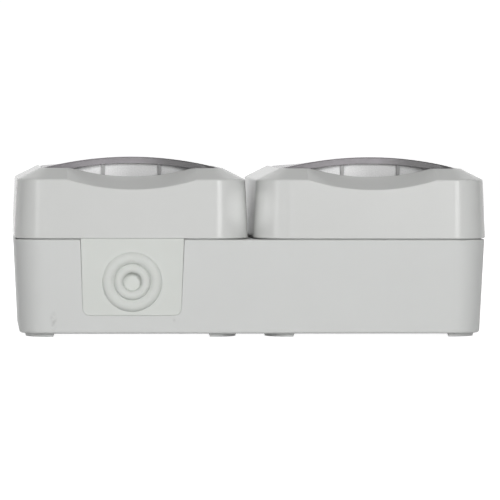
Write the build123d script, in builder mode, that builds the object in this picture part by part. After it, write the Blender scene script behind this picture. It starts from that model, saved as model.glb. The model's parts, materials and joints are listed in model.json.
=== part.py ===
from build123d import *
import os
from math import atan, cos, degrees, radians, sin, sqrt, tan

# Twin weatherproof socket outlet, lying on its back: X runs along the two gangs, -Y is the side
# with the cable entry and the finger scoops, +Y the hinge side, +Z points out of the wall.
# The origin is under the middle of the box, in the plane of its feet. All sizes in millimetres.

# Cover outline and heights
cover_width = 69.2
cover_gap = 1.6
cover_corner_radius = 10.5
cover_wall_height = 17.3
cover_draft = 2.8
cover_edge_radius = 0.8
seam_edge_radius = 0.3
scoop_edge_radius = 0.5
rim_height = 3.3
rim_land = 0.66
rim_wall = 2.0
side_core_depth = 3.2
side_core_length = 42.0
deck_depth = 5.7
deck_thickness = 2.0
recess_rear_radius = 2.5

# Finger scoop in the front edge of a cover
scoop_width = 38.0
scoop_depth = 2.9
scoop_lead = 1.0

# Base box
base_height = 27.7
base_inset = 0.25
base_draft = 2.9
base_wall = 2.2
base_floor = 2.4
base_edge_radius = 0.8
seam_gap = 0.35
foot_height = 1.0
foot_setback = 1.6
foot_width = 2.4
foot_length = 8.6
foot_corner_radius = 7.5
foot_draft = 20.0
window_width = 44.0
window_height = 17.5
tongue_height = 2.0
tongue_wall = 1.3
tongue_clearance = 0.15
gasket_thickness = 1.0

# Wall screw holes in the floor of the box
wall_hole_radius = 2.25
wall_hole_spacing_x = 112.0
wall_hole_spacing_y = 44.0
wall_hole_pad = 2.2
wall_hole_pad_height = 0.8

# Cable entry
entry_top_width = 30.6
entry_bottom_width = 28.9
entry_sill = 5.3
entry_corner_radius = 2.2
entry_clearance = 0.12
entry_top_gap = 0.1
entry_flange_margin = 2.0
entry_flange_thickness = 1.5
entry_rail_width = 2.4
entry_rail_height = 7.0
entry_rail_thickness = 1.8
ring_sill = 10.0
outer_ring_radius = 8.75
outer_ring_width = 3.5
inner_ring_radius = 5.3
inner_ring_width = 2.7
ring_height = 1.1
ring_root = 0.4
membrane_recess = 1.3

# Lid and hinge
lid_crown = 3.35
lid_rear_crown = 0.9
lid_thickness = 1.95
lid_corner_radius = 5.5
lid_edge_radius = 0.5
lid_clearance = 0.4
lip_overhang = 1.4
skirt_side_setback = 1.2
skirt_wall = 1.4
skirt_well_gap = 0.7
skirt_deck_gap = 0.6
skirt_turn = 9.0
skirt_rear_reach = 15.3
bar_spacing = 16.6
bar_width = 0.9
bar_depth = 0.9
hinge_drop = 2.4
hinge_inset = 0.8
hinge_bay = 4.6
hinge_radius = 2.2
hinge_window_gap = 0.6
hinge_side_gap = 0.3
pin_radius = 1.0
pin_end_setback = 0.1
pin_end_chamfer = 0.25
ear_fit = 0.02
arm_fit = 0.05
ear_width = 3.2
arm_width = 5.2
arm_outer_reach = 22.4

# Torsion spring on the hinge pin
spring_wire_radius = 0.35
spring_wire_sides = 8
spring_coil_radius = 1.5
spring_turns = 3
spring_pitch = 0.85
full_turn = 360.0
spring_start_angle = 30.0
spring_end_angle = 108.0
spring_deck_leg = 3.9
spring_lid_leg = 2.2
spring_tab_width = 4.0
spring_tab_length = 1.2

# Seal between lid and well
seal_inner_reach = 0.5
seal_width = 2.5
seal_thickness = 1.0
seal_gap = 0.2
seal_side_gap = 0.1
seal_rib_wall = 0.9
seal_rib_grip = 0.6

# Well and pin face
well_radius = 19.6
well_wall = 1.7
well_depth = 17.5
collar_height = 3.05
well_flange_reach = 1.4
well_flange_thickness = 1.6
well_fit = 0.2
well_lip_reach = 1.7
well_lip_thickness = 1.8
guide_rib_width = 5.0
guide_rib_depth = 1.4
guide_rib_length = 13.0
guide_rib_floor_gap = 1.5
pin_face_thickness = 3.0
pin_pitch = 19.0
pin_hole_radius = 2.6
well_screw_radius = 1.5
well_screw_length = 13.0
well_screw_head_radius = 2.9
well_screw_head_height = 1.8

# Contact carrier and its screws
carrier_length = 47.6
carrier_block_width = 19.0
carrier_screw_edge = 3.3
carrier_plate_thickness = 3.0
carrier_floor_gap = 3.9
carrier_lip_gap = 0.3
carrier_boss_radius = 4.0
carrier_corner_radius = 2.0
chamber_inner_reach = 5.2
chamber_end_wall = 1.5
chamber_width = 9.0
chamber_floor = 1.8
carrier_screw_x = 16.0
carrier_screw_gap = 0.4
carrier_screw_radius = 1.45
carrier_screw_bite = 3.8
carrier_screw_head_radius = 2.8
carrier_screw_head_height = 1.9
carrier_hole_gap = 0.3
boss_wall = 2.2
screw_fit = 0.02
screw_slot_width = 0.8
screw_slot_depth = 0.8

# Contacts, straps and bars
sleeve_wall = 0.7
sleeve_top_gap = 0.5
sleeve_slit = 1.0
contact_sheet = 1.0
terminal_size = 7.0
terminal_height = 8.0
terminal_x = 17.6
terminal_screw_radius = 1.5
terminal_screw_length = 5.0
terminal_screw_head_radius = 2.6
terminal_screw_head_height = 1.8
wire_hole_radius = 1.9
wire_drop = 4.0
tail_width = 4.0
tail_rise = 4.0
tail_slot_gap = 0.4
bar_thickness = 1.0
bar_height = 5.0
bar_carrier_gap = 1.5
earth_sheet = 0.8
earth_width = 5.0
earth_wall_gap = 0.3
earth_bulge = 1.6
earth_clip_drop = 3.2
earth_bulge_half = 3.0
earth_bend_radius = 1.6
earth_slot_gap = 0.6
earth_wing_length = 7.0
earth_wing_height = 7.0
wing_top_gap = 0.3
earth_bar_width = 6.0
earth_bar_overlap = 3.0

# Levels and widths that follow from the sizes above
gang_pitch = cover_width + cover_gap
gang_centres = {"left": -gang_pitch / 2, "right": gang_pitch / 2}
floor_z = foot_height + base_floor
shoulder_z = foot_height + base_height
cover_bottom_z = shoulder_z + seam_gap
rim_low_z = cover_bottom_z + cover_wall_height
rim_z = rim_low_z + rim_height
deck_z = rim_z - deck_depth
deck_under_z = deck_z - deck_thickness
tongue_top_z = shoulder_z + tongue_height
gasket_top_z = tongue_top_z + gasket_thickness

rim_low_inset = cover_wall_height * tan(radians(cover_draft))
rim_low_width = cover_width - 2 * rim_low_inset
well_outer_radius = well_radius + well_wall
well_flange_radius = well_outer_radius + well_flange_reach
skirt_half = well_flange_radius + skirt_well_gap + skirt_wall
lid_width = 2 * (skirt_half + skirt_side_setback)
recess_width = lid_width + 2 * lid_clearance
rim_width = recess_width + 2 * rim_land
rim_slope_width = (rim_low_width - rim_width) / 2
rim_slope = rim_height / rim_slope_width
rim_angle = degrees(atan(rim_slope_width / rim_height))
cover_wall = base_inset + base_wall

base_length = gang_pitch + cover_width - 2 * base_inset
base_width = cover_width - 2 * base_inset
base_corner_radius = cover_corner_radius - base_inset
base_lean = tan(radians(base_draft))
cavity_width = base_width - 2 * base_wall
cavity_radius = base_corner_radius - base_wall
cavity_depth = shoulder_z - floor_z
entry_height = base_height - entry_sill
ring_drop = entry_height - ring_sill
tongue_width = cavity_width + 2 * tongue_wall
tongue_radius = cavity_radius + tongue_wall
skirt_inner_width = tongue_width + 2 * tongue_clearance
skirt_inner_radius = tongue_radius + tongue_clearance

hinge_y = recess_width / 2 - hinge_inset
hinge_z = rim_z - hinge_drop
lid_front_y = -lid_width / 2
pin_length = 2 * (arm_outer_reach - pin_end_setback)
recess_rear_y = hinge_y + hinge_bay
skirt_bottom_z = deck_z + skirt_deck_gap

collar_top_z = deck_z + collar_height
well_floor_z = collar_top_z - well_depth
lip_top_z = well_floor_z - pin_face_thickness
lip_bottom_z = lip_top_z - well_lip_thickness
seal_bottom_z = collar_top_z + seal_gap
seal_inner_radius = well_radius - seal_inner_reach
seal_outer_radius = seal_inner_radius + seal_width
spring_length = (spring_turns + (spring_end_angle - spring_start_angle) / full_turn) * spring_pitch

carrier_bottom_z = floor_z + carrier_floor_gap
carrier_top_z = lip_bottom_z - carrier_lip_gap
carrier_plate_top_z = carrier_bottom_z + carrier_plate_thickness
carrier_screw_y = carrier_block_width / 2 + carrier_screw_head_radius + carrier_screw_gap
carrier_plate_width = 2 * (carrier_screw_y + carrier_screw_edge)
chamber_floor_z = carrier_bottom_z + chamber_floor
chamber_outer_reach = carrier_length / 2 - chamber_end_wall
tail_z = chamber_floor_z + tail_rise
bar_face_y = carrier_block_width / 2 + bar_carrier_gap
earth_arm_y = well_radius - earth_wall_gap - earth_sheet / 2
wing_z = carrier_top_z - wing_top_gap - earth_wing_height / 2
wing_screw_x = (earth_width + earth_wing_length) / 2

# Planes shared by the box and the soft entry plate
shoulder_down = Plane(origin=(0, 0, shoulder_z), x_dir=(1, 0, 0), z_dir=(0, 0, -1))
back_down = Plane(origin=(0, 0, foot_height), x_dir=(1, 0, 0), z_dir=(0, 0, -1))
entry_normal = Vector(0, -cos(radians(base_draft)), -sin(radians(base_draft)))
entry_wall = base_wall * cos(radians(base_draft))
entry_plane = Plane(
    origin=(gang_centres["left"], -base_width / 2, shoulder_z), x_dir=(1, 0, 0), z_dir=entry_normal
)


def level(x, z):
    """Horizontal plane over the centre of a gang."""
    return Plane(origin=(x, 0, z))


def facing_front(x, y):
    """Upright plane that faces -Y, with its local Y along Z."""
    return Plane(origin=(x, y, 0), x_dir=(1, 0, 0), z_dir=(0, -1, 0))


def facing_side(x, y, z):
    """Upright plane that faces +X, with local X along Y and local Y along Z."""
    return Plane(origin=(x, y, z), x_dir=(0, 1, 0), z_dir=(1, 0, 0))


def save(piece, name):
    """Label a finished piece and write its STEP file."""
    piece.part.label = name
    export_step(piece.part, f"parts/{name}.step")


def entry_outline(plane, margin, top):
    """U-shaped outline of the cable entry, wider at the top, grown by a margin."""
    lean = (entry_top_width - entry_bottom_width) / 2 / entry_height
    bottom = -entry_height - margin
    half_top = entry_top_width / 2 + margin + lean * top
    half_bottom = entry_bottom_width / 2 + margin - lean * margin
    with BuildSketch(plane) as outline:
        Polygon(
            (-half_bottom, bottom), (half_bottom, bottom), (half_top, top), (-half_top, top), align=None
        )
        fillet(outline.vertices().group_by(Axis.Y)[0], entry_corner_radius + margin)
    return outline.sketch


def make_base_box():
    """Moulded box for both gangs, with tongues for the covers, bosses, feet and the entry slot."""
    carrier_corners = [(carrier_screw_x, carrier_screw_y), (-carrier_screw_x, -carrier_screw_y)]
    prop_corners = [(carrier_screw_x, -carrier_screw_y), (-carrier_screw_x, carrier_screw_y)]
    partition = gang_pitch - cavity_width + 2 * cavity_depth * base_lean + 2 * base_wall
    back_width = base_width - 2 * base_height * base_lean
    foot_outer = back_width - 2 * foot_setback
    foot_span = foot_outer - 2 * foot_length
    flange_depth = (base_wall + entry_flange_thickness) + base_height * base_lean
    rail_y = -base_width / 2 + flange_depth + entry_clearance
    rail_x = entry_bottom_width / 2 - entry_rail_width / 2
    with BuildPart() as base_box:
        with BuildSketch(shoulder_down):
            RectangleRounded(base_length, base_width, base_corner_radius)
        extrude(amount=base_height, taper=base_draft)
        fillet(base_box.faces().sort_by(Axis.Z)[0].edges(), base_edge_radius)
        fillet(base_box.faces().sort_by(Axis.Z)[-1].edges(), seam_edge_radius)
        with BuildSketch(shoulder_down):
            with Locations(*[(x, 0) for x in gang_centres.values()]):
                RectangleRounded(cavity_width, cavity_width, cavity_radius)
        extrude(amount=cavity_depth, taper=base_draft, mode=Mode.SUBTRACT)
        with BuildSketch(level(0, floor_z)):
            Rectangle(partition, window_width)
        extrude(amount=window_height, mode=Mode.SUBTRACT)
        with BuildSketch(level(0, shoulder_z)):
            with Locations(*[(x, 0) for x in gang_centres.values()]):
                RectangleRounded(tongue_width, tongue_width, tongue_radius)
                RectangleRounded(cavity_width, cavity_width, cavity_radius, mode=Mode.SUBTRACT)
        extrude(amount=tongue_height)
        slot = entry_outline(entry_plane.offset(entry_clearance), 0, tongue_height + seam_gap)
        extrude(slot, amount=-base_wall - entry_flange_thickness, mode=Mode.SUBTRACT)
        for x in gang_centres.values():
            with BuildSketch(level(x, floor_z)):
                with Locations(*carrier_corners, *prop_corners):
                    Circle(carrier_screw_radius + boss_wall)
                with Locations(*carrier_corners):
                    Circle(carrier_screw_radius + screw_fit, mode=Mode.SUBTRACT)
            extrude(amount=carrier_floor_gap)
        with BuildSketch(level(gang_centres["left"], floor_z)):
            with Locations((-rail_x, rail_y), (rail_x, rail_y)):
                Rectangle(entry_rail_width, entry_rail_thickness, align=(Align.CENTER, Align.MIN))
        extrude(amount=entry_rail_height)
        with BuildSketch(level(0, floor_z)):
            with GridLocations(wall_hole_spacing_x, wall_hole_spacing_y, 2, 2):
                Circle(wall_hole_radius + wall_hole_pad)
        extrude(amount=wall_hole_pad_height)
        with BuildSketch(back_down):
            with Locations(*[(x, 0) for x in gang_centres.values()]):
                RectangleRounded(foot_outer, foot_outer, foot_corner_radius)
                RectangleRounded(
                    foot_outer - 2 * foot_width,
                    foot_outer - 2 * foot_width,
                    foot_corner_radius - foot_width,
                    mode=Mode.SUBTRACT,
                )
                Rectangle(back_width, foot_span, mode=Mode.SUBTRACT)
                Rectangle(foot_span, back_width, mode=Mode.SUBTRACT)
        extrude(amount=foot_height, taper=foot_draft)
        with Locations(level(0, floor_z + wall_hole_pad_height)):
            with GridLocations(wall_hole_spacing_x, wall_hole_spacing_y, 2, 2):
                Hole(wall_hole_radius)
    return base_box


def make_entry_grommet():
    """Soft plate that fills the entry slot, with ring beads round a thin centre."""
    plate_top = seam_gap - entry_top_gap
    ring_centre = entry_plane.from_local_coords((0, -ring_drop, 0))
    ring_axis = Axis(ring_centre, entry_normal)
    ring_plane = Plane(
        origin=ring_centre, x_dir=(1, 0, 0), z_dir=Vector(1, 0, 0).cross(entry_normal)
    )
    tongue_x = entry_top_width / 2 - entry_clearance
    beads = [(outer_ring_radius, outer_ring_width), (inner_ring_radius, inner_ring_width)]
    with BuildPart() as entry_grommet:
        extrude(entry_outline(entry_plane, -entry_clearance, plate_top), amount=-entry_wall)
        flange = entry_outline(entry_plane.offset(-entry_wall), entry_flange_margin, 0)
        extrude(flange, amount=-entry_flange_thickness)
        with BuildSketch(level(gang_centres["left"], shoulder_z)):
            with Locations((0, -cavity_width / 2)):
                Rectangle(2 * tongue_x, tongue_wall, align=(Align.CENTER, Align.MAX))
        extrude(amount=tongue_height)
        for outer, width in beads:
            with BuildSketch(ring_plane):
                with BuildLine():
                    ThreePointArc((outer - width, 0), (outer - width / 2, ring_height), (outer, 0))
                    Polyline((outer, 0), (outer, -ring_root), (outer - width, -ring_root), (outer - width, 0))
                make_face()
            revolve(axis=ring_axis)
        with BuildSketch(Plane(origin=ring_centre, x_dir=(1, 0, 0), z_dir=entry_normal)):
            Circle(inner_ring_radius - inner_ring_width)
        extrude(amount=-membrane_recess, mode=Mode.SUBTRACT)
    return entry_grommet


def make_cover(x):
    """Square cover with a sloped rim, a scoop at the front, a deck and two hinge ears."""
    scoop_y = -cover_width / 2 - scoop_lead
    scoop_z = rim_low_z + (scoop_y + rim_low_width / 2) * rim_slope
    scoop_reach = sqrt(1 + rim_slope**2) * (-recess_width / 2 + rim_land - scoop_y)
    recess_length = recess_rear_y + recess_width / 2
    core_width = rim_low_width / 2 - cover_wall - recess_width / 2 - rim_wall
    core_x = recess_width / 2 + rim_wall + core_width / 2
    ear_x = arm_outer_reach - arm_width - hinge_side_gap - ear_width
    with BuildPart() as cover:
        with BuildSketch(level(x, cover_bottom_z)):
            RectangleRounded(cover_width, cover_width, cover_corner_radius)
        extrude(amount=cover_wall_height, taper=cover_draft)
        fillet(cover.faces().sort_by(Axis.Z)[0].edges(), seam_edge_radius)
        wall_top = cover.faces().sort_by(Axis.Z)[-1]
        extrude(wall_top, amount=rim_height, taper=rim_angle)
        shoulder_band = (rim_low_z - cover_edge_radius, rim_low_z + cover_edge_radius)
        fillet(cover.edges().filter_by_position(Axis.Z, *shoulder_band), cover_edge_radius)
        with BuildSketch(facing_front(x, scoop_y)):
            with BuildLine():
                ThreePointArc(
                    (-scoop_width / 2, scoop_z), (0, scoop_z - scoop_depth), (scoop_width / 2, scoop_z)
                )
                Polyline(
                    (scoop_width / 2, scoop_z),
                    (scoop_width / 2, rim_z),
                    (-scoop_width / 2, rim_z),
                    (-scoop_width / 2, scoop_z),
                )
            make_face()
        extrude(amount=scoop_reach, dir=(0, rim_slope_width, rim_height), mode=Mode.SUBTRACT)
        scoop_front = cover.edges(Select.LAST).filter_by(GeomType.BSPLINE).sort_by(SortBy.LENGTH)[-1]
        fillet(scoop_front, scoop_edge_radius)
        with BuildSketch(Plane(origin=(x, recess_rear_y - recess_length / 2, rim_z))) as recess:
            Rectangle(recess_width, recess_length)
            fillet(recess.vertices().group_by(Axis.Y)[0], lid_corner_radius + lid_clearance)
            fillet(recess.vertices().group_by(Axis.Y)[-1], recess_rear_radius)
        extrude(amount=-deck_depth, mode=Mode.SUBTRACT)
        with BuildSketch(level(x, cover_bottom_z)):
            RectangleRounded(skirt_inner_width, skirt_inner_width, skirt_inner_radius)
        extrude(amount=gasket_top_z - cover_bottom_z, mode=Mode.SUBTRACT)
        with BuildSketch(level(x, gasket_top_z)):
            RectangleRounded(cavity_width, cavity_width, cavity_radius)
        extrude(amount=deck_under_z - gasket_top_z, taper=cover_draft, mode=Mode.SUBTRACT)
        with BuildSketch(level(x, deck_under_z)):
            with Locations((-core_x, 0), (core_x, 0)):
                Rectangle(core_width, side_core_length)
        extrude(amount=side_core_depth, mode=Mode.SUBTRACT)
        with BuildSketch(level(x, deck_under_z)):
            Circle(well_outer_radius + well_fit)
        extrude(amount=deck_thickness, mode=Mode.SUBTRACT)
        for ear_start in (-ear_x - ear_width, ear_x):
            with BuildSketch(facing_side(x + ear_start, hinge_y, hinge_z)):
                Circle(hinge_radius)
                Rectangle(
                    2 * hinge_radius, hinge_z - deck_z + deck_thickness / 2, align=(Align.CENTER, Align.MAX)
                )
                Circle(pin_radius + ear_fit, mode=Mode.SUBTRACT)
            extrude(amount=ear_width)
    return cover


def lid_section(x, y, crown, half_width, top_z, bottom_z):
    """Section of the arched lid, from a flat bottom to an arc that falls to its two sides."""
    with BuildSketch(facing_front(x, y)) as section:
        with BuildLine():
            ThreePointArc((-half_width, top_z), (0, top_z + crown), (half_width, top_z))
            Polyline(
                (half_width, top_z), (half_width, bottom_z), (-half_width, bottom_z), (-half_width, top_z)
            )
        make_face()
    return section.sketch


def make_lid_form(x, drop):
    """Solid under the lid's arched top, or under the same arch lowered by a drop."""
    rear_y = hinge_y + hinge_radius
    with BuildPart() as form:
        loft(
            [
                lid_section(x, lid_front_y, lid_crown, lid_width / 2, rim_z - drop, skirt_bottom_z - drop),
                lid_section(x, rear_y, lid_rear_crown, lid_width / 2, rim_z - drop, skirt_bottom_z - drop),
            ]
        )
    return form.part


def make_lid(x):
    """Arched lid with a set-back skirt, bars under its lip, seal ribs and two hinge arms."""
    plate_length = hinge_y - lid_front_y
    full_height = rim_z + lid_crown - skirt_bottom_z
    skirt_front_y = lid_front_y + lip_overhang
    facet_x = bar_spacing / 2
    turn = tan(radians(skirt_turn))
    rib_outer = seal_outer_radius + seal_side_gap + seal_rib_wall
    rib_inner = seal_inner_radius - seal_side_gap
    rib_bottom_z = seal_bottom_z + seal_thickness - seal_rib_grip
    arm_inner = arm_outer_reach - arm_width
    window_y = hinge_y - hinge_radius - hinge_window_gap
    window_length = hinge_radius + hinge_window_gap + lid_clearance
    outer_form = make_lid_form(x, 0)
    under_form = make_lid_form(x, lid_thickness)
    root_form = make_lid_form(x, lid_thickness / 2)
    with BuildPart() as skirt:
        with BuildSketch(level(x, skirt_bottom_z)):
            for inset, side_mode in ((0, Mode.ADD), (skirt_wall, Mode.SUBTRACT)):
                half = skirt_half - inset
                front_y = skirt_front_y + inset
                corner_y = front_y + (half - facet_x) * turn
                Polygon(
                    (-facet_x, front_y),
                    (facet_x, front_y),
                    (half, corner_y),
                    (half, skirt_rear_reach),
                    (-half, skirt_rear_reach),
                    (-half, corner_y),
                    align=None,
                    mode=side_mode,
                )
            with Locations((-facet_x, skirt_front_y), (facet_x, skirt_front_y)):
                Rectangle(bar_width, 2 * bar_depth)
        extrude(amount=full_height)
        with BuildSketch(level(x, rib_bottom_z)):
            for rib_radius in (rib_outer, rib_inner):
                Circle(rib_radius)
                Circle(rib_radius - seal_rib_wall, mode=Mode.SUBTRACT)
        extrude(amount=full_height)
        add(root_form, mode=Mode.INTERSECT)
    with BuildPart() as lid:
        with BuildSketch(Plane(origin=(x, hinge_y - plate_length / 2, skirt_bottom_z))):
            RectangleRounded(lid_width, plate_length, lid_corner_radius)
        extrude(amount=full_height)
        add(outer_form, mode=Mode.INTERSECT)
        add(under_form, mode=Mode.SUBTRACT)
        fillet(lid.faces().sort_by(Axis.Z)[-1].edges(), lid_edge_radius)
        with BuildSketch(level(x, skirt_bottom_z)):
            with Locations((0, window_y)):
                Rectangle(2 * arm_inner, window_length, align=(Align.CENTER, Align.MIN))
            with Locations((spring_length / 2, window_y)):
                Rectangle(
                    spring_tab_width, spring_tab_length, align=(Align.CENTER, Align.MIN), mode=Mode.SUBTRACT
                )
        extrude(amount=full_height, mode=Mode.SUBTRACT)
        for arm_start in (-arm_outer_reach, arm_inner):
            with BuildSketch(facing_side(x + arm_start, hinge_y, hinge_z)):
                Circle(hinge_radius)
            extrude(amount=arm_width)
            with BuildSketch(facing_side(x + arm_start, hinge_y, hinge_z)):
                Circle(pin_radius + arm_fit)
            extrude(amount=arm_width, mode=Mode.SUBTRACT)
        add(skirt.part)
    return lid


def make_hinge_pin(x):
    """Steel pin through the ears of the cover and the arms of the lid."""
    with BuildPart() as hinge_pin:
        with BuildSketch(facing_side(x - pin_length / 2, hinge_y, hinge_z)):
            Circle(pin_radius)
        extrude(amount=pin_length)
        chamfer(hinge_pin.edges().filter_by(GeomType.CIRCLE), pin_end_chamfer)
    return hinge_pin


def make_lid_spring(x):
    """Torsion spring round the pin, with one leg down on the deck and one under the lid's tab."""
    start = radians(spring_start_angle)
    coil_plane = Plane(
        origin=(x - spring_length / 2, hinge_y, hinge_z),
        x_dir=(0, cos(start), sin(start)),
        z_dir=(1, 0, 0),
    )
    coil = coil_plane * Helix(spring_pitch, spring_length, spring_coil_radius)
    deck_leg = Line(coil @ 0 - (coil % 0) * spring_deck_leg, coil @ 0)
    lid_leg = Line(coil @ 1, coil @ 1 + (coil % 1) * spring_lid_leg)
    wire = Wire([*deck_leg.edges(), *coil.edges(), *lid_leg.edges()])
    with BuildPart() as lid_spring:
        with BuildSketch(Plane(origin=wire @ 0, z_dir=wire % 0)):
            RegularPolygon(spring_wire_radius, spring_wire_sides)
        sweep(path=wire, is_frenet=True)
    return lid_spring


def make_lid_seal(x):
    """Ring seal, held between the two ribs under the lid."""
    with BuildPart() as lid_seal:
        with BuildSketch(level(x, seal_bottom_z)):
            Circle(seal_outer_radius)
            Circle(seal_inner_radius, mode=Mode.SUBTRACT)
        extrude(amount=seal_thickness)
    return lid_seal


def make_cover_gasket(x):
    """Gasket that lies on the tongue of the box, under the step in the cover."""
    with BuildPart() as cover_gasket:
        with BuildSketch(level(x, tongue_top_z)):
            RectangleRounded(tongue_width, tongue_width, tongue_radius)
            RectangleRounded(cavity_width, cavity_width, cavity_radius, mode=Mode.SUBTRACT)
        extrude(amount=gasket_thickness)
    return cover_gasket


def make_socket_well(x):
    """Round well for the plug, with a flange on the deck, guide ribs and slots for the earth clips."""
    lip_radius = well_radius - well_lip_reach
    flange_top_z = deck_z + well_flange_thickness
    rib_z = well_floor_z + guide_rib_floor_gap
    slot_y = earth_arm_y - earth_sheet / 2 - earth_bulge - earth_slot_gap
    with BuildPart() as socket_well:
        with BuildSketch(facing_front(x, 0)):
            Polygon(
                (lip_radius, lip_bottom_z),
                (well_outer_radius, lip_bottom_z),
                (well_outer_radius, deck_z),
                (well_flange_radius, deck_z),
                (well_flange_radius, flange_top_z),
                (well_outer_radius, flange_top_z),
                (well_outer_radius, collar_top_z),
                (well_radius, collar_top_z),
                (well_radius, lip_top_z),
                (lip_radius, lip_top_z),
                align=None,
            )
        revolve(axis=Axis((x, 0, 0), (0, 0, 1)))
        with BuildSketch(level(x, rib_z)):
            for sign in (-1, 1):
                with Locations((sign * (well_radius + well_wall / 2 - guide_rib_depth / 2), 0)):
                    Rectangle(guide_rib_depth + well_wall, guide_rib_width)
            Circle(well_radius + well_wall / 2, mode=Mode.INTERSECT)
        extrude(amount=guide_rib_length)
        with BuildSketch(level(x, lip_bottom_z)):
            with Locations((0, slot_y)):
                Rectangle(earth_width + 2 * earth_slot_gap, well_radius, align=(Align.CENTER, Align.MIN))
            with Locations((0, -slot_y)):
                Rectangle(earth_width + 2 * earth_slot_gap, well_radius, align=(Align.CENTER, Align.MAX))
            Circle(well_radius, mode=Mode.INTERSECT)
        extrude(amount=well_lip_thickness, mode=Mode.SUBTRACT)
    return socket_well


def make_pin_face(x):
    """Floor of the well, with two pin holes, a sunk screw hole and notches for the earth clips."""
    slot_y = earth_arm_y - earth_sheet / 2 - earth_bulge - earth_slot_gap
    with BuildPart() as pin_face:
        with BuildSketch(level(x, lip_top_z)):
            Circle(well_radius - well_fit)
            with Locations((0, slot_y)):
                Rectangle(
                    earth_width + 2 * earth_slot_gap,
                    well_radius,
                    align=(Align.CENTER, Align.MIN),
                    mode=Mode.SUBTRACT,
                )
            with Locations((0, -slot_y)):
                Rectangle(
                    earth_width + 2 * earth_slot_gap,
                    well_radius,
                    align=(Align.CENTER, Align.MAX),
                    mode=Mode.SUBTRACT,
                )
        extrude(amount=pin_face_thickness)
        with Locations(level(x, well_floor_z)):
            with Locations((-pin_pitch / 2, 0), (pin_pitch / 2, 0)):
                Hole(pin_hole_radius)
            CounterBoreHole(
                well_screw_radius + screw_fit, well_screw_head_radius + well_fit, well_screw_head_height
            )
    return pin_face


def make_contact_carrier(x):
    """Moulded block with a chamber for each contact, a foot plate and a boss for the well screw."""
    chamber_length = chamber_outer_reach - chamber_inner_reach
    chamber_x = chamber_inner_reach + chamber_length / 2
    screw_depth = well_screw_length - pin_face_thickness + well_screw_head_height
    with BuildPart() as carrier:
        with BuildSketch(level(x, carrier_bottom_z)):
            RectangleRounded(carrier_length, carrier_plate_width, carrier_corner_radius)
        extrude(amount=carrier_plate_thickness)
        with BuildSketch(level(x, carrier_bottom_z)):
            RectangleRounded(carrier_length, carrier_block_width, carrier_corner_radius)
        extrude(amount=carrier_top_z - carrier_bottom_z)
        with BuildSketch(level(x, carrier_bottom_z)):
            Circle(carrier_boss_radius)
        extrude(amount=lip_top_z - carrier_bottom_z)
        with BuildSketch(level(x, chamber_floor_z)):
            with Locations((-chamber_x, 0), (chamber_x, 0)):
                Rectangle(chamber_length, chamber_width)
        extrude(amount=lip_top_z - chamber_floor_z, mode=Mode.SUBTRACT)
        with BuildSketch(level(x, tail_z - tail_slot_gap)):
            with Locations((-terminal_x, 0), (terminal_x, 0)):
                Rectangle(tail_width + 2 * tail_slot_gap, carrier_plate_width)
        extrude(amount=lip_top_z - tail_z, mode=Mode.SUBTRACT)
        with Locations(level(x, carrier_plate_top_z)):
            with Locations((carrier_screw_x, carrier_screw_y), (-carrier_screw_x, -carrier_screw_y)):
                Hole(carrier_screw_radius + carrier_hole_gap)
        with Locations(level(x, lip_top_z)):
            Hole(well_screw_radius + screw_fit, depth=screw_depth)
    return carrier


def make_contact(x, contact_side, tail_side):
    """Brass contact: slit sleeve for the pin, strip, screw terminal and a tail to the bar."""
    sleeve_x = contact_side * pin_pitch / 2
    end_x = contact_side * terminal_x
    strip_z = chamber_floor_z + contact_sheet
    strip_length = terminal_x - pin_pitch / 2
    terminal_top_z = strip_z + terminal_height
    sleeve_top_z = carrier_top_z - sleeve_top_gap
    with BuildPart() as contact:
        with BuildSketch(level(x, chamber_floor_z)):
            with Locations((sleeve_x + contact_side * strip_length / 2, 0)):
                Rectangle(strip_length, terminal_size)
            with Locations((sleeve_x, 0)):
                Circle(pin_hole_radius + sleeve_wall)
            with Locations((end_x, 0)):
                Rectangle(terminal_size, terminal_size)
        extrude(amount=contact_sheet)
        with BuildSketch(level(x, strip_z)):
            with Locations((sleeve_x, 0)):
                Circle(pin_hole_radius + sleeve_wall)
                Circle(pin_hole_radius, mode=Mode.SUBTRACT)
            with Locations((sleeve_x - contact_side * pin_hole_radius, 0)):
                Rectangle(2 * sleeve_wall + pin_hole_radius, sleeve_slit, mode=Mode.SUBTRACT)
        extrude(amount=sleeve_top_z - strip_z)
        with BuildSketch(level(x, strip_z)):
            with Locations((end_x, 0)):
                Rectangle(terminal_size, terminal_size)
        extrude(amount=terminal_height)
        with BuildSketch(level(x, tail_z)):
            with Locations((end_x, tail_side * bar_face_y / 2)):
                Rectangle(tail_width, bar_face_y)
        extrude(amount=contact_sheet)
        with BuildSketch(facing_front(x, 0)):
            with Locations((end_x, terminal_top_z - wire_drop)):
                Circle(wire_hole_radius)
        extrude(amount=tail_side * terminal_size, mode=Mode.SUBTRACT)
        with Locations((x + end_x, 0, terminal_top_z)):
            Hole(terminal_screw_radius + screw_fit, depth=terminal_screw_length)
    return contact


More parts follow.
